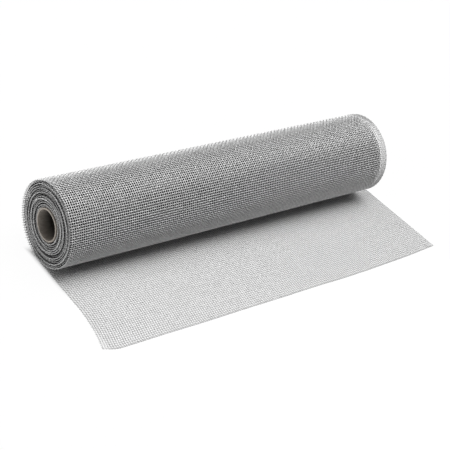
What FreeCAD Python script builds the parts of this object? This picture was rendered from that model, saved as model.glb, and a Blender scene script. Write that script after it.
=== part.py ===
"""A roll of woven window screen on a cardboard core, with its free end laid out flat.

The roll's axis is X and the origin is the middle of the core's bore. The roll lies on its side,
Z is up, and the free end runs out from under the roll towards -Y. All sizes are in millimetres.
"""
import FreeCAD, Part
import math
import os

os.makedirs("parts", exist_ok=True)

# Sizes that can be set by themselves
ROLL_R = 32.2            # from the core's axis to the outside of the roll
WEB_WIDTH = 300.0        # width of the outermost turn, along X
YARN_D = 0.56            # one coated yarn, and a woven web is two yarns thick
TURN_AIR = 0.29          # least air between one turn and the next
INNER_NECK = 2.9         # the inner turns are wound tighter and end this much short on the right
EDGE_WANDER = 0.9        # how far the edges of single turns wander along the roll
CORE_BORE_R = 11.0       # inside of the cardboard tube
CORE_WALL = 1.2          # cardboard, wound in plies
CORE_PROUD = 0.4         # the tube stands out past the turns by this at each end
CORE_FIT = 0.1           # air between the tube and the first turn
RUN_LENGTH = 96.6        # free end, from below the axis to its front edge
RUN_SPREAD = 11.6        # the relaxed free end is wider than the roll by this, at the roll
FRONT_SPREAD = 14.9      # and by this at its front edge, both on the right
LEFT_FLARE = 6.8         # its left corner stands out by this
FLARE_LENGTH = 34.0      # length of the left edge that flares
CORNER_BACK = 4.0        # the front corners lie behind the middle of the front edge
GAP_PITCH = 14.9         # spacing of the gaps that stand for the open weave
GAP_BAR = 5.0            # bar of woven web left between two gaps
FRONT_BAR = 6.0          # and the bar left before the first row, along the front edge
RIDGE_PITCH = 3.62       # spacing of the ridges that stand for the weave, every second yarn
HOLLOW_WIDTH = 1.8       # width of the hollow between two ridges
RIDGE_START = 25.0       # degrees up from the roll's lowest line where its ridges begin

# Sizes that follow
half = WEB_WIDTH / 2
web_t = 2 * YARN_D
core_r = CORE_BORE_R + CORE_WALL
wound = ROLL_R - core_r - CORE_FIT - web_t
half_turns = int(2 * wound / (web_t + TURN_AIR) + 0.5)
pitch = 2 * wound / (half_turns - 0.5)
hollow_depth = YARN_D / 2
sag = 0.4 * (pitch - web_t)
floor_z = -pitch / 4 - ROLL_R + sag
gap_rows = int((RUN_LENGTH - FRONT_BAR) / GAP_PITCH)
gap_front = FRONT_BAR - RUN_LENGTH


def half_turn(k):
    """Outer radius and centre height of half turn k, where 0 is the outermost, behind the axis."""
    return ROLL_R - k * pitch / 2, -pitch / 4 if k % 2 == 0 else pitch / 4


def arc(k, depth):
    """Semicircle of half turn k, depth below its outside: up behind the axis, down before it."""
    radius, z = half_turn(k)
    radius -= depth
    side, start = (1, -1) if k % 2 == 0 else (-1, 1)
    points = [(0, start * radius), (side * radius, 0), (0, -start * radius)]
    return Part.Arc(*[FreeCAD.Vector(0, y, z + dz) for y, dz in points]).toShape()


def turns(first, last, left, right):
    """The web from half turn first up to, but without, half turn last, between two ends on X."""
    outer = [arc(k, 0) for k in range(first, last)]
    inner = [arc(k, web_t) for k in range(first, last)]
    ends = [
        Part.makeLine(outer[i].Vertexes[i].Point, inner[i].Vertexes[i].Point) for i in (0, -1)
    ]
    face = Part.Face(Part.Wire(Part.__sortEdges__(outer + inner + ends)))
    face.translate(FreeCAD.Vector(left, 0, 0))
    return face.extrude(FreeCAD.Vector(right - left, 0, 0))


def turn_hollows(k):
    """Cutters for the hollows between the ridges on the outside of half turn k."""
    radius, z = half_turn(k)
    step = math.degrees(RIDGE_PITCH / radius)
    count = int((180 - RIDGE_START) / step)
    cutters = []
    for i in range(count):
        cutter = Part.makeBox(
            2 * WEB_WIDTH, HOLLOW_WIDTH, web_t,
            FreeCAD.Vector(-WEB_WIDTH, -HOLLOW_WIDTH / 2, hollow_depth - radius - web_t),
        )
        turned = RIDGE_START + (i + 0.5) * step
        cutter.rotate(
            FreeCAD.Vector(0, 0, 0), FreeCAD.Vector(1, 0, 0), turned if k % 2 == 0 else -turned
        )
        cutter.translate(FreeCAD.Vector(0, 0, z))
        cutters.append(cutter)
    return cutters


def bow(start, end):
    """Arc that leaves start almost along the longer way to end, and turns towards it."""
    run = end - start
    if abs(run.x) > abs(run.y):
        middle = FreeCAD.Vector(start.x + run.x / 2, start.y + run.y / 4, start.z)
    else:
        middle = FreeCAD.Vector(start.x + run.x / 4, start.y + run.y / 2, start.z)
    return Part.Arc(start, middle, end).toShape()


def free_end():
    """Flat run of the web, with the outline of a cut and slightly stretched end."""
    left, right, front = -half, half + RUN_SPREAD, -RUN_LENGTH
    back_left = FreeCAD.Vector(left, 0, floor_z)
    back_right = FreeCAD.Vector(right, 0, floor_z)
    flare_start = FreeCAD.Vector(left, front + FLARE_LENGTH, floor_z)
    corner_left = FreeCAD.Vector(left - LEFT_FLARE, front + CORNER_BACK, floor_z)
    corner_right = FreeCAD.Vector(half + FRONT_SPREAD, front + CORNER_BACK, floor_z)
    front_left = FreeCAD.Vector(left + 2 * CORNER_BACK, front, floor_z)
    front_right = FreeCAD.Vector(half / 3, front, floor_z)
    outline = Part.Wire([
        Part.makeLine(back_right, back_left),
        Part.makeLine(back_left, flare_start),
        bow(flare_start, corner_left),
        bow(front_left, corner_left),
        Part.makeLine(front_left, front_right),
        bow(front_right, corner_right),
        Part.makeLine(corner_right, back_right),
    ])
    return Part.Face(outline).extrude(FreeCAD.Vector(0, 0, web_t))


def gaps():
    """Square gaps in rows and columns, centred on the free end."""
    size = GAP_PITCH - GAP_BAR
    columns = int((WEB_WIDTH + RUN_SPREAD - GAP_BAR) / GAP_PITCH)
    first = RUN_SPREAD / 2 - columns * GAP_PITCH / 2 + GAP_BAR / 2
    holes = []
    for row in range(gap_rows):
        for column in range(columns):
            corner = FreeCAD.Vector(
                first + column * GAP_PITCH, gap_front + row * GAP_PITCH, floor_z - web_t
            )
            holes.append(Part.makeBox(size, size, 3 * web_t, corner))
    return holes


def bar_hollows():
    """Cutters for one hollow along the middle of each bar between the rows of gaps."""
    middle = gap_front - GAP_BAR / 2
    return [
        Part.makeBox(
            2 * WEB_WIDTH, HOLLOW_WIDTH, web_t,
            FreeCAD.Vector(
                -WEB_WIDTH, middle + row * GAP_PITCH - HOLLOW_WIDTH / 2,
                floor_z + web_t - hollow_depth,
            ),
        )
        for row in range(1, gap_rows)
    ]


# Cardboard core: a tube cut square at both ends
core_left = -half
core_right = half - INNER_NECK + CORE_PROUD
core_length = core_right - core_left
core_start = FreeCAD.Vector(core_left, 0, 0)
along = FreeCAD.Vector(1, 0, 0)
core = Part.makeCylinder(core_r, core_length, core_start, along)
core = core.cut(Part.makeCylinder(CORE_BORE_R, core_length, core_start, along))

# Screen web: the outermost turn, whose right edge runs over to the wider free end behind the
# axis, then the inner turns one by one, each with its own small shift along the roll
back_turn = turns(0, 1, -half, half + RUN_SPREAD)
slant = math.atan2(RUN_SPREAD, 2 * ROLL_R)
cutter = Part.makeBox(
    4 * ROLL_R, 4 * ROLL_R, 6 * ROLL_R, FreeCAD.Vector(0, -2 * ROLL_R, -3 * ROLL_R)
)
cutter.rotate(FreeCAD.Vector(0, 0, 0), FreeCAD.Vector(0, 1, 0), -math.degrees(slant))
cutter.translate(FreeCAD.Vector(half + RUN_SPREAD / 2, 0, -pitch / 4))
back_turn = back_turn.cut([cutter] + turn_hollows(0))
web = [back_turn, turns(1, 2, -half, half).cut(turn_hollows(1))]
for k in range(2, half_turns, 2):
    shift = EDGE_WANDER * math.sin(1.9 * k)
    left = -half + CORE_PROUD + 0.5 * (EDGE_WANDER + shift)
    right = half - INNER_NECK - 0.5 * (EDGE_WANDER + shift)
    web.append(turns(k, min(k + 2, half_turns), left, right))
below = Part.makeBox(
    2 * WEB_WIDTH, 2 * ROLL_R, ROLL_R,
    FreeCAD.Vector(-WEB_WIDTH, -ROLL_R, floor_z - ROLL_R),
)
screen = web[0].fuse(web[1:]).cut(below)
screen = screen.fuse(free_end().cut(gaps() + bar_hollows())).removeSplitter()

# One file for each node
for name, shape in (("core_tube", core), ("screen_mesh", screen)):
    solid = shape.Solids[0] if len(shape.Solids) == 1 else shape
    print(name, "solids", len(shape.Solids), "volume", round(shape.Volume), shape.isValid())
    solid.exportStep("parts/" + name + ".step")
print("half turns", half_turns, "pitch", round(pitch, 3), "floor", round(floor_z, 3))
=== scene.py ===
"""A roll of woven window screen on a cardboard core, with its free end laid out flat."""
import bpy
import bmesh
import math
import numpy as np
from mathutils import Matrix, Vector


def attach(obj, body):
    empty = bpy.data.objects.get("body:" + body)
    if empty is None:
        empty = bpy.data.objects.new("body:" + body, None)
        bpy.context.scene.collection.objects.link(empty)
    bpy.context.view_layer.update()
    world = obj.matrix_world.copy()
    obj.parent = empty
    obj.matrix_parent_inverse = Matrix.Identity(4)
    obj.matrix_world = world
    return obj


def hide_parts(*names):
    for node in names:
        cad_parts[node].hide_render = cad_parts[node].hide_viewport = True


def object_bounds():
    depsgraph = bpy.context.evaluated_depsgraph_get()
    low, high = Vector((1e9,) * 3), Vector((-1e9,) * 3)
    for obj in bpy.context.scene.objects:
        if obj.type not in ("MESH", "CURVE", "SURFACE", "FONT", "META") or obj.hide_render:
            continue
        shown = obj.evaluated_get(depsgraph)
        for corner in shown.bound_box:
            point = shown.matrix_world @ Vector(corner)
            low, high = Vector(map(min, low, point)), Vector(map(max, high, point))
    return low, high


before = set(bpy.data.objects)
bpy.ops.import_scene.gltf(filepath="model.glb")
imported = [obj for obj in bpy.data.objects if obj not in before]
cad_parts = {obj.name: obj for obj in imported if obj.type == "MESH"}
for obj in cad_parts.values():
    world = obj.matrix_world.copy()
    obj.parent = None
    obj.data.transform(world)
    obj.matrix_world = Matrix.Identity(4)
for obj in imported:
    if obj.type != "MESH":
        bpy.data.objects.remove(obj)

cad_low, cad_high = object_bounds()


# Cardboard core
# A thin paper tube, wound from strips of grey-brown board that meet in slanting seams.
# It is cut square at both ends, and its plies show there as fine rings. Painted shade darkens its
# bore away from the ends.
BOARD = (0.47, 0.43, 0.385)
BOARD_DARK = (0.29, 0.255, 0.22)
BORE_SHADE_COLOUR = (0.035, 0.031, 0.027)
BORE_LIT = 0.1495
BORE_SHADED = 0.1395
STRIP_WIDTH = 0.045
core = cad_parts["core_tube"]


def new_material(name, roughness, specular=0.5):
    """A material with its shader and an Object coordinate socket."""
    material = bpy.data.materials.new(name)
    material.use_nodes = True
    nodes = material.node_tree.nodes
    shader = nodes["Principled BSDF"]
    shader.inputs["Roughness"].default_value = roughness
    shader.inputs["Specular IOR Level"].default_value = specular
    where = nodes.new("ShaderNodeTexCoord").outputs["Object"]
    return material, shader, where


def add(material, kind, links=(), **values):
    """A new node of the material, with its inputs linked or set by number or name."""
    node = material.node_tree.nodes.new(kind)
    for key, value in values.items():
        setattr(node, key, value)
    for key, value in links:
        if isinstance(value, bpy.types.NodeSocket):
            material.node_tree.links.new(value, node.inputs[key])
        else:
            node.inputs[key].default_value = value
    return node


def colour_mix(material, share, first, second):
    """Colour that goes from first to second as share goes from 0 to 1."""
    node = add(material, "ShaderNodeMix", data_type="RGBA")
    for key, value in ((0, share), (6, first), (7, second)):
        if isinstance(value, bpy.types.NodeSocket):
            material.node_tree.links.new(value, node.inputs[key])
        else:
            node.inputs[key].default_value = (*value, 1.0) if key else value
    return node.outputs[2]


cardboard, board_shader, where = new_material("cardboard", 0.85, 0.25)
split = add(cardboard, "ShaderNodeSeparateXYZ", [(0, where)])
turn = add(
    cardboard, "ShaderNodeMath", [(0, split.outputs[1]), (1, split.outputs[2])],
    operation="ARCTAN2",
)
turn = add(
    cardboard, "ShaderNodeMath", [(0, turn.outputs[0]), (1, 0.5 / math.pi)], operation="MULTIPLY"
)
helix = add(
    cardboard, "ShaderNodeMath",
    [(0, split.outputs[0]), (1, 1 / STRIP_WIDTH), (2, turn.outputs[0])],
    operation="MULTIPLY_ADD",
)
helix = add(cardboard, "ShaderNodeMath", [(0, helix.outputs[0])], operation="FRACT")
seam = add(
    cardboard, "ShaderNodeMapRange",
    [(0, helix.outputs[0]), (1, 0.0), (2, 0.02), (3, 1.0), (4, 0.0)],
)
grain = add(cardboard, "ShaderNodeMapping", [(0, where), (3, (0.35, 1.0, 1.0))])
fibre = add(cardboard, "ShaderNodeTexNoise", [(0, grain.outputs[0]), (2, 900.0), (3, 6.0)])
blotch = add(cardboard, "ShaderNodeTexNoise", [(0, where), (2, 60.0), (3, 3.0)])
board_tone = add(
    cardboard, "ShaderNodeMath", [(0, fibre.outputs[0]), (1, blotch.outputs[0])],
    operation="MULTIPLY",
)
board_tone = add(
    cardboard, "ShaderNodeMapRange", [(0, board_tone.outputs[0]), (1, 0.1), (2, 0.42)]
)
board_colour = colour_mix(cardboard, board_tone.outputs[0], BOARD_DARK, BOARD)
seam_share = add(
    cardboard, "ShaderNodeMath", [(0, seam.outputs[0]), (1, 0.5)], operation="MULTIPLY"
)
board_colour = colour_mix(cardboard, seam_share.outputs[0], board_colour, BOARD_DARK)
# Painted shade: the bore goes dark from BORE_LIT to BORE_SHADED in from each end.
bore_shade = add(cardboard, "ShaderNodeMath", [(0, split.outputs[0])], operation="ABSOLUTE")
bore_shade = add(
    cardboard, "ShaderNodeMapRange", [(0, bore_shade.outputs[0]), (1, BORE_LIT), (2, BORE_SHADED)]
)
board_colour = colour_mix(cardboard, bore_shade.outputs[0], board_colour, BORE_SHADE_COLOUR)
cardboard.node_tree.links.new(board_colour, board_shader.inputs["Base Color"])
relief = add(
    cardboard, "ShaderNodeMath", [(0, fibre.outputs[0]), (1, seam.outputs[0])], operation="SUBTRACT"
)
bump = add(
    cardboard, "ShaderNodeBump", [(0, 0.35), (1, 0.0002), ("Height", relief.outputs[0])]
)
cardboard.node_tree.links.new(bump.outputs[0], board_shader.inputs["Normal"])
core.data.materials.clear()
core.data.materials.append(cardboard)


# Inner turns
# The screen that is wound on the core under the two outer turns. It is woven from coated grey
# yarn, and its cut edges wander, so some turns stand out at the ends and others lie back.
ROLL_R = 0.0322
WEB = 0.00112
YARN = 0.00048
WEB_HALF = 0.150
NECK = 0.0029
HALF_TURNS = 27
CORE_R = 0.0123
WEFT_PITCH = 0.00181
WARP_PITCH = 0.00174
END_WARPS = 5
INNER_LIT = [(-0.1475, -0.150), (0.1446, 0.1471)]
EDGE_LIGHT = (0.78, 0.78, 0.78)
EDGE_DARK = (0.64, 0.64, 0.64)
SHADED = (0.03, 0.03, 0.03)
THREAD_SHADE = (0.02, 0.02, 0.02)
GAP_SHADE = (0.005, 0.005, 0.005)
turn_pitch = 2 * (ROLL_R - CORE_R - WEB) / (HALF_TURNS - 0.5)
floor_z = cad_low.z
chance = np.random.default_rng(7)


def on_roll(angle, lift=0.0, loose=0.0):
    """Places on the wound web, by the angle wound from the bottom up behind, and the lift."""
    angle = np.asarray(angle, float)
    half_turn = np.clip(np.floor(angle / math.pi + 1e-9), 0, HALF_TURNS - 1)
    radius = ROLL_R - WEB / 2 - half_turn * turn_pitch / 2 + lift + loose
    centre = np.where(half_turn % 2 == 0, -turn_pitch / 4, turn_pitch / 4)
    y = radius * np.sin(angle)
    z = centre - radius * np.cos(angle)
    return y, np.maximum(z, floor_z + YARN * 1.05 + lift)


def give(angle):
    """How far the turns bulge or nest there, which opens dark gaps between some of them."""
    rho = (ROLL_R - angle * turn_pitch / (2 * math.pi)) / ROLL_R
    total = np.zeros_like(rho)
    for gap_at, size, side in ((0.665, 0.0004, 1.38), (0.86, 0.0003, 0.9), (0.47, 0.0005, 0.85)):
        facing = 0.5 + 0.5 * np.cos(angle - side * math.pi)
        step = np.tanh((rho - gap_at) / 0.006) * np.exp(-np.abs(rho - gap_at) / 0.09)
        total += 0.5 * size * facing ** 1.5 * step
    return total


def left_end(angle):
    """Where the left edge of the wound web ends."""
    rho = (ROLL_R - angle * turn_pitch / (2 * math.pi)) / ROLL_R
    edge = 0.0005 * np.sin(1.9 * angle / math.pi) + 0.00035 * np.sin(2.3 * angle + 1)
    groove = 0.0007 * np.exp(-((rho - 0.69) / 0.025) ** 2)
    proud = 0.0011 * np.exp(-((rho - 0.60) / 0.035) ** 2)
    return -WEB_HALF + 0.0004 + edge + groove - proud


def right_end(angle):
    """Where the right edge of the inner turns ends, short of the outer turn's."""
    edge = 0.0006 * np.sin(1.7 * angle / math.pi + 2) + 0.0003 * np.sin(2.1 * angle)
    edge = edge + 0.0009 * np.clip(-np.sin(angle), 0, 1)
    return WEB_HALF - NECK - 0.0006 + edge


def yarns(name, lines, widths=None):
    """One piece of yarns, each along its own row of points, and of its own share of the width."""
    curve = bpy.data.curves.new(name, "CURVE")
    curve.dimensions = "3D"
    curve.bevel_depth = YARN / 2
    curve.bevel_resolution = 0
    curve.use_fill_caps = True
    for line, width in zip(lines, widths or [1.0] * len(lines)):
        spline = curve.splines.new("POLY")
        spline.points.add(len(line) - 1)
        spline.points.foreach_set("co", np.c_[line, np.ones(len(line))].ravel())
        spline.points.foreach_set("radius", np.full(len(line), width))
        spline.use_smooth = True
    drawn = bpy.data.objects.new("drawn", curve)
    mesh = bpy.data.meshes.new_from_object(drawn)
    bpy.data.objects.remove(drawn)
    bm = bmesh.new()
    bm.from_mesh(mesh)
    bmesh.ops.remove_doubles(bm, verts=bm.verts, dist=1e-7)
    for face in bm.faces:
        face.smooth = len(face.verts) == 4
    bm.to_mesh(mesh)
    bm.free()
    piece = bpy.data.objects.new(name, mesh)
    bpy.context.scene.collection.objects.link(piece)
    return piece


def ups(along, across):
    """Height of yarn number along at each of the yarns that cross it, half a yarn up or down."""
    return YARN / 2 * np.where((along + across) % 2 == 0, 1.0, -1.0)


weft_angles = []
for half_turn in range(HALF_TURNS):
    radius = ROLL_R - WEB / 2 - half_turn * turn_pitch / 2
    count = round(math.pi * radius / WEFT_PITCH)
    weft_angles.append(math.pi * (half_turn + (np.arange(count) + 0.5) / count))
first_row = np.cumsum([0] + [len(at) for at in weft_angles])
inner_angles = np.concatenate(weft_angles[4:])
inner_rows = np.arange(len(inner_angles))


def yarn_material(name, light, dark, gloss, lit_ends=()):
    """Coated yarn. With lit_ends it is painted in shade, but painted lit between the two places of
    each.
    """
    material, shader, where = new_material(name, 0.54, 0.2 if lit_ends else 0.8)
    shader.inputs["Metallic"].default_value = gloss
    tone = add(material, "ShaderNodeTexNoise", [(0, where), (2, 420.0), (3, 3.0)])
    tone = add(material, "ShaderNodeMapRange", [(0, tone.outputs[0]), (1, 0.35), (2, 0.65)])
    colour = colour_mix(material, tone.outputs[0], dark, light)
    split = add(material, "ShaderNodeSeparateXYZ", [(0, where)])
    share = 0.0
    for deep, end in lit_ends:
        lit = add(
            material, "ShaderNodeMapRange", [(0, split.outputs[0]), (1, deep), (2, end)]
        )
        lit = add(
            material, "ShaderNodeMath", [(0, lit.outputs[0]), (1, share)], operation="MAXIMUM"
        )
        share = lit.outputs[0]
    if lit_ends:
        colour = colour_mix(material, share, SHADED, colour)
    material.node_tree.links.new(colour, shader.inputs["Base Color"])
    coat = add(material, "ShaderNodeTexNoise", [(0, where), (2, 2600.0), (3, 2.0)])
    bump = add(material, "ShaderNodeBump", [(0, 0.25), (1, 0.0001), ("Height", coat.outputs[0])])
    material.node_tree.links.new(bump.outputs[0], shader.inputs["Normal"])
    return material


# Painted shade: the edge yarns of the inner turns are near black, and painted lit only close to the
# ends.
deep_yarn = yarn_material("deep_yarn", EDGE_LIGHT, EDGE_DARK, 0.0, INNER_LIT)
for end, edge_of, inward in (("left", left_end, 1), ("right", right_end, -1)):
    lines = []
    for warp in range(END_WARPS):
        lift = ups(warp, inner_rows)
        y, z = on_roll(inner_angles, lift, give(inner_angles))
        x = edge_of(inner_angles) + inward * (warp + 0.2) * WARP_PITCH
        lines.append(np.c_[x, y, z])
    fray = chance.uniform(0.0, 0.0004, len(inner_angles))
    for row, at in zip(inner_rows, inner_angles):
        across = np.arange(END_WARPS + 1)
        x = edge_of(at) + inward * (across + 0.2) * WARP_PITCH
        lift = -ups(row, across)
        x = np.r_[edge_of(at) - inward * fray[row], x]
        lift = np.r_[0.0, lift]
        y, z = on_roll(np.full(len(x), at), lift, give(np.array([at])))
        lines.append(np.c_[x, y, z])
    piece = yarns(f"inner_turn_edges_{end}", lines)
    piece.data.materials.append(deep_yarn)
    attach(piece, "root")

# Painted shade: the inner turns are one near-black surface with the weave painted on, standing in
# for the shade deep in the roll.
wound, wound_shader = new_material("wound_screen", 0.6, 0.3)[:2]
uv = add(wound, "ShaderNodeUVMap", uv_map="weave")
split = add(wound, "ShaderNodeSeparateXYZ", [(0, uv.outputs[0])])
masks = []
for axis in (0, 1):
    cell = add(wound, "ShaderNodeMath", [(0, split.outputs[axis])], operation="FRACT")
    off = add(wound, "ShaderNodeMath", [(0, cell.outputs[0]), (1, 0.5)], operation="SUBTRACT")
    off = add(wound, "ShaderNodeMath", [(0, off.outputs[0])], operation="ABSOLUTE")
    band = add(
        wound, "ShaderNodeMapRange",
        [(0, off.outputs[0]), (1, 0.12), (2, 0.18), (3, 1.0), (4, 0.0)],
    )
    masks.append(band.outputs[0])
thread = add(wound, "ShaderNodeMath", [(0, masks[0]), (1, masks[1])], operation="MAXIMUM")
wound_shade = colour_mix(wound, thread.outputs[0], GAP_SHADE, THREAD_SHADE)
wound.node_tree.links.new(wound_shade, wound_shader.inputs["Base Color"])
bump = add(wound, "ShaderNodeBump", [(0, 0.6), (1, 0.0004), ("Height", thread.outputs[0])])
wound.node_tree.links.new(bump.outputs[0], wound_shader.inputs["Normal"])

steps = np.arange(4 * math.pi, HALF_TURNS * math.pi, math.pi / 30)
y, z = on_roll(steps, 0.0, give(steps))
bm = bmesh.new()
weave_uv = bm.loops.layers.uv.new("weave")
line = [
    bm.verts.new((x, b, c))
    for x, b, c in zip(left_end(steps) + 2.5 * WARP_PITCH, y, z)
]
edges = [bm.edges.new(pair) for pair in zip(line, line[1:])]
made = bmesh.ops.extrude_edge_only(bm, edges=edges)
far = [v for v in made["geom"] if isinstance(v, bmesh.types.BMVert)]
inner_width = 2 * WEB_HALF - NECK - 6 * WARP_PITCH
bmesh.ops.translate(bm, verts=far, vec=(inner_width, 0, 0))
bmesh.ops.recalc_face_normals(bm, faces=bm.faces)
length_at = {}
run = 0.0
for k, v in enumerate(line):
    run += (v.co - line[k - 1].co).length if k else 0.0
    length_at[round(v.co.y, 7), round(v.co.z, 7)] = run
for face in bm.faces:
    for loop in face.loops:
        co = loop.vert.co
        along = length_at[round(co.y, 7), round(co.z, 7)]
        loop[weave_uv].uv = (co.x / WARP_PITCH, along / WEFT_PITCH)
mesh = bpy.data.meshes.new("inner_turns")
bm.to_mesh(mesh)
bm.free()
inner_turns = bpy.data.objects.new("inner_turns", mesh)
bpy.context.scene.collection.objects.link(inner_turns)
mesh.materials.append(wound)
mesh.polygons.foreach_set("use_smooth", [True] * len(mesh.polygons))
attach(inner_turns, "root")


# Second turn
# The turn under the outermost one, woven out in full because it shows through the open weave.
# Like all the inner turns it ends a little short on the right. Little light gets down to it, so its
# yarn is painted in shade, but for its edges and, in part, its right half.
WARPS = 172
SEAM_ANGLE = 0.002
RUN_SPREAD = 0.0116
SECOND_LIT = [(-0.1490, -0.1498), (0.1466, 0.1474), (0.0, 0.6)]
warp_shares = (np.arange(WARPS) + 0.5) / WARPS
selvedge = np.sort(np.r_[warp_shares, warp_shares[-2:] - 0.5 / WARPS, 1.0, 1.0 + 0.36 / WARPS])


def web_edge(angle, side, outer):
    """Left or right edge of the turn. The outer one spreads behind, towards the free end."""
    if side < 0:
        return np.full_like(angle, -WEB_HALF if outer else -WEB_HALF + 0.0004)
    if not outer:
        return right_end(angle)
    spread = RUN_SPREAD * (1 + np.cos(np.minimum(angle / 0.75, math.pi))) / 2
    return WEB_HALF + np.where(angle < math.pi, spread, 0.0)


def half_turn_lines(half_turn, outer):
    """Warp and weft yarns of one half turn, whose warps end level to meet those of the next."""
    at = weft_angles[half_turn]
    rows = first_row[half_turn] + np.arange(len(at))
    ends = math.pi * half_turn, math.pi * (half_turn + 1)
    at_all = np.r_[ends[0], ends[0] + SEAM_ANGLE, at, ends[1] - SEAM_ANGLE, ends[1]]
    low, high = web_edge(at_all, -1, outer), web_edge(at_all, 1, outer)
    lines = []
    shares = selvedge if outer else warp_shares
    for warp, share in enumerate(shares):
        lift = np.r_[0.0, 0.0, ups(warp, rows), 0.0, 0.0]
        y, z = on_roll(np.clip(at_all, ends[0], ends[1] - 1e-6), lift)
        lines.append(np.c_[low + (high - low) * share, y, z])
    fray = chance.uniform(0.0001, 0.0005, len(at))
    for k, row in enumerate(rows):
        x = low[k + 2] + (high[k + 2] - low[k + 2]) * shares
        x = np.r_[low[k + 2] - fray[k], x]
        lift = np.r_[0.0, -ups(row, np.arange(len(shares)))]
        y, z = on_roll(np.full(len(x), at[k]), lift)
        lines.append(np.c_[x, y, z])
    return lines


# Painted shade: the second turn is near black, painted lit at its ends and partly lit towards its
# right end.
under_yarn = yarn_material("under_yarn", EDGE_LIGHT, EDGE_DARK, 0.0, SECOND_LIT)
for half_turn, place in ((2, "back"), (3, "front")):
    piece = yarns(f"second_turn_{place}", half_turn_lines(half_turn, False))
    piece.data.materials.append(under_yarn)
    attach(piece, "root")


# Outermost turn
# The turn that shows, woven from the same coated yarn. On the right it reaches past the turns
# below, so light comes through it there, and it ends in a closer woven selvedge.
YARN_LIGHT = (0.56, 0.56, 0.56)
YARN_DARK = (0.46, 0.46, 0.46)
YARN_GLOSS = 0.9
RIM_START = 0.1460
RIM_FULL = 0.1468
RIM_SHADE_COLOUR = (0.40, 0.40, 0.40)
RIM_GLOSS = 0.2
screen_yarn = yarn_material("screen_yarn", YARN_LIGHT, YARN_DARK, YARN_GLOSS)
screen_shader = screen_yarn.node_tree.nodes["Principled BSDF"]
where = add(screen_yarn, "ShaderNodeTexCoord").outputs["Object"]
split = add(screen_yarn, "ShaderNodeSeparateXYZ", [(0, where)])
# Painted shade: past RIM_START the yarn is painted darker, and made less glossy, so the band beyond
# the lower turns stays grey.
rim_shade = add(
    screen_yarn, "ShaderNodeMapRange", [(0, split.outputs[0]), (1, RIM_START), (2, RIM_FULL)]
)
colour = screen_shader.inputs["Base Color"].links[0].from_socket
colour = colour_mix(screen_yarn, rim_shade.outputs[0], colour, RIM_SHADE_COLOUR)
screen_yarn.node_tree.links.new(colour, screen_shader.inputs["Base Color"])
gloss = add(
    screen_yarn, "ShaderNodeMapRange", [(0, rim_shade.outputs[0]), (3, YARN_GLOSS), (4, RIM_GLOSS)]
)
screen_yarn.node_tree.links.new(gloss.outputs[0], screen_shader.inputs["Metallic"])
for half_turn, place in ((0, "back"), (1, "front")):
    piece = yarns(f"outer_turn_{place}", half_turn_lines(half_turn, True))
    piece.data.materials.append(screen_yarn)
    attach(piece, "root")
    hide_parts("screen_mesh")


# Free end
# The end of the web, cut across and laid out flat. It is relaxed, so it is wider than the roll,
# and its cut left corner flares.
RELAXED_LIGHT = (0.48, 0.48, 0.48)
RELAXED_DARK = (0.38, 0.38, 0.38)
RELAXED_GLOSS = 0.1
RUN = 0.0966
ROWS = 52
WARP_SHARE = 1.06
WEFT_SHARE = 0.84
FRONT_SPREAD = 0.0149
LEFT_FLARE = 0.0068
FLARE_LENGTH = 0.045
FLARE_POWER = 1.75
CORNER_BACK = 0.004


def sheet_place(across, back, lift):
    """Place on the free end, by the share across it and the share from its front to the roll."""
    x_front = -WEB_HALF - LEFT_FLARE + across * (2 * WEB_HALF + LEFT_FLARE + FRONT_SPREAD)
    left_bow = -WEB_HALF + 2 * CORNER_BACK - x_front
    left_bow = np.clip(left_bow / (2 * CORNER_BACK + LEFT_FLARE), 0, 1)
    right_bow = np.clip((x_front - WEB_HALF / 3) / (WEB_HALF * 2 / 3 + FRONT_SPREAD), 0, 1)
    y = (-RUN + CORNER_BACK * (left_bow ** 2 + right_bow ** 2)) * (1 - back)
    flare = np.clip((-RUN + FLARE_LENGTH - y) / (FLARE_LENGTH - CORNER_BACK), 0, 1)
    low = -WEB_HALF - LEFT_FLARE * flare ** FLARE_POWER
    high = WEB_HALF + RUN_SPREAD + (FRONT_SPREAD - RUN_SPREAD) * np.clip(-y / RUN, 0, 1)
    x = low + (high - low) * across
    wave = 0.00012 * np.sin(38 * x + 55 * y) + 0.00010 * np.sin(90 * x - 40 * y + 1)
    y = y + wave * np.clip(-y / 0.02, 0, 1)
    return np.c_[x, y, np.full_like(x, floor_z + YARN * 1.05) + lift]


lines = []
rows = np.arange(ROWS)
row_back = np.r_[0.004, (rows[1:] - 0.3) / (ROWS - 1)]
for warp in range(WARPS):
    across = np.full(ROWS + 2, warp_shares[warp])
    back = np.r_[chance.uniform(-0.001, 0.001), row_back, 1.0]
    lines.append(sheet_place(across, back, np.r_[0.0, ups(warp, rows), 0.0]))
for row in rows:
    fray = chance.uniform(-0.001, 0.0008, 2)
    across = np.r_[-fray[0], warp_shares, 1 + fray[1]]
    lift = np.r_[0.0, -ups(row, np.arange(WARPS)), 0.0]
    lines.append(sheet_place(across, np.full(WARPS + 2, row_back[row]), lift))
free_end = yarns("free_end", lines, [WARP_SHARE] * WARPS + [WEFT_SHARE] * ROWS)
# Painted shade: the free end's yarn is a darker, duller copy of the screen yarn.
shaded_relaxed_yarn = yarn_material("shaded_relaxed_yarn", RELAXED_LIGHT, RELAXED_DARK, RELAXED_GLOSS)
free_end.data.materials.append(shaded_relaxed_yarn)
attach(free_end, "root")


# Floor
# A white table top. The camera, mirrors and glass see it glow white away from the roll. Near the
# roll it is plain white paint, which keeps the roll's soft shadow.
bm = bmesh.new()
bmesh.ops.create_grid(bm, x_segments=1, y_segments=1, size=4.0)
bmesh.ops.translate(bm, verts=bm.verts, vec=(0, 0, floor_z))
mesh = bpy.data.meshes.new("floor")
bm.to_mesh(mesh)
bm.free()
floor = bpy.data.objects.new("floor", mesh)
bpy.context.scene.collection.objects.link(floor)


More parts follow.
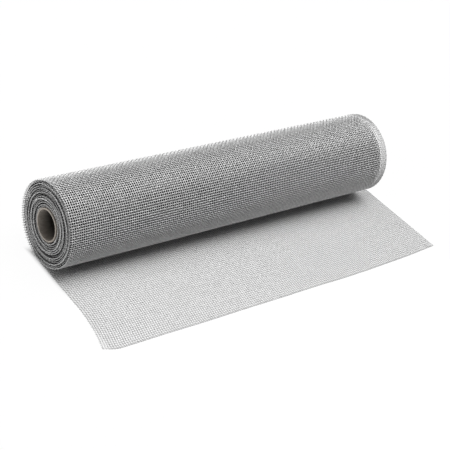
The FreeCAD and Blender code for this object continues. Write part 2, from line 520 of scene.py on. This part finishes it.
def seen_share(owner):
    """1 where the camera sees it, directly, mirrored or through something clear, else 0."""
    path = add(owner, "ShaderNodeLightPath")
    share = path.outputs["Is Camera Ray"]
    for kind in ("Is Glossy Ray", "Is Transmission Ray"):
        share = add(
            owner, "ShaderNodeMath", [(0, share), (1, path.outputs[kind])], operation="MAXIMUM"
        ).outputs[0]
    return share


white, white_shader, where = new_material("white_table", 0.9, 0.0)
white_shader.inputs["Base Color"].default_value = (0.78, 0.78, 0.78, 1.0)
glow = add(white, "ShaderNodeEmission", [(0, (1.0, 1.0, 1.0, 1.0)), (1, 1.0)])
split = add(white, "ShaderNodeSeparateXYZ", [(0, where)])
glow_share = 0.0
# Painted light: the glow fades out the roll's shadow past its ends and behind it, and lifts half of
# it in front.
for axis, near, far, most in (
    (0, -0.147, -0.153, 0.97), (0, 0.161, 0.166, 0.97),
    (1, -0.5 * ROLL_R, -1.05 * ROLL_R, 0.45), (1, 0.2 * ROLL_R, 0.6 * ROLL_R, 0.97),
):
    past = add(
        white, "ShaderNodeMapRange",
        [(0, split.outputs[axis]), (1, near), (2, far), (3, 0.0), (4, most)],
        interpolation_type="SMOOTHSTEP",
    )
    past = add(
        white, "ShaderNodeMath", [(0, past.outputs[0]), (1, glow_share)], operation="MAXIMUM"
    )
    glow_share = past.outputs[0]
shown = add(
    white, "ShaderNodeMath", [(0, seen_share(white)), (1, glow_share)], operation="MULTIPLY"
)
table = add(
    white, "ShaderNodeMixShader",
    [(0, shown.outputs[0]), (1, white_shader.outputs[0]), (2, glow.outputs[0])],
)
white.node_tree.links.new(table.outputs[0], white.node_tree.nodes["Material Output"].inputs[0])
mesh.materials.append(white)


# Light
# A soft white studio: an even surround, a wide lamp above the roll that leans to its right end,
# and a weaker one that faces its left end.
scene = bpy.context.scene
world = bpy.data.worlds.new("studio")
scene.world = world
world.use_nodes = True
surround = world.node_tree.nodes["Background"]
surround.inputs[0].default_value = (1.0, 1.0, 1.0, 1.0)
brightness = add(world, "ShaderNodeMapRange", [(0, seen_share(world)), (3, 0.15), (4, 1.0)])
world.node_tree.links.new(brightness.outputs[0], surround.inputs[1])
for name, power, width, towards in (
    ("soft_box_above", 4.0, 50, (0.30, -0.05, 1.0)),
    ("soft_box_left", 0.6, 30, (-1.0, -0.05, 0.5)),
):
    lamp = bpy.data.lights.new(name, "SUN")
    lamp.energy = power
    lamp.angle = math.radians(width)
    lamp_object = bpy.data.objects.new(name, lamp)
    lamp_object.rotation_euler = Vector(towards).to_track_quat("Z", "Y").to_euler()
    scene.collection.objects.link(lamp_object)


# Camera
# It looks down on the near left end of the roll, from some way off, and is turned on its axis.
AZIMUTH, ELEVATION, TILT = math.radians(-47.42), math.radians(34.59), math.radians(17.17)
TARGET = Vector((-0.01658, -0.0350, -0.0077))
DISTANCE = 0.93412
lens = bpy.data.cameras.new("camera")
lens.lens = 102.2
lens.sensor_width = 36.0
lens.clip_start = 0.01
camera = bpy.data.objects.new("camera", lens)
scene.collection.objects.link(camera)
back = Vector((
    math.sin(AZIMUTH) * math.cos(ELEVATION),
    -math.cos(AZIMUTH) * math.cos(ELEVATION),
    math.sin(ELEVATION),
))
level = Vector((math.cos(AZIMUTH), math.sin(AZIMUTH), 0))
above = back.cross(level)
right = math.cos(TILT) * level + math.sin(TILT) * above
up = math.cos(TILT) * above - math.sin(TILT) * level
camera.matrix_world = Matrix.Translation(TARGET + back * DISTANCE) @ Matrix(
    (right, up, back)
).transposed().to_4x4()
scene.camera = camera
scene.view_settings.view_transform = "Standard"
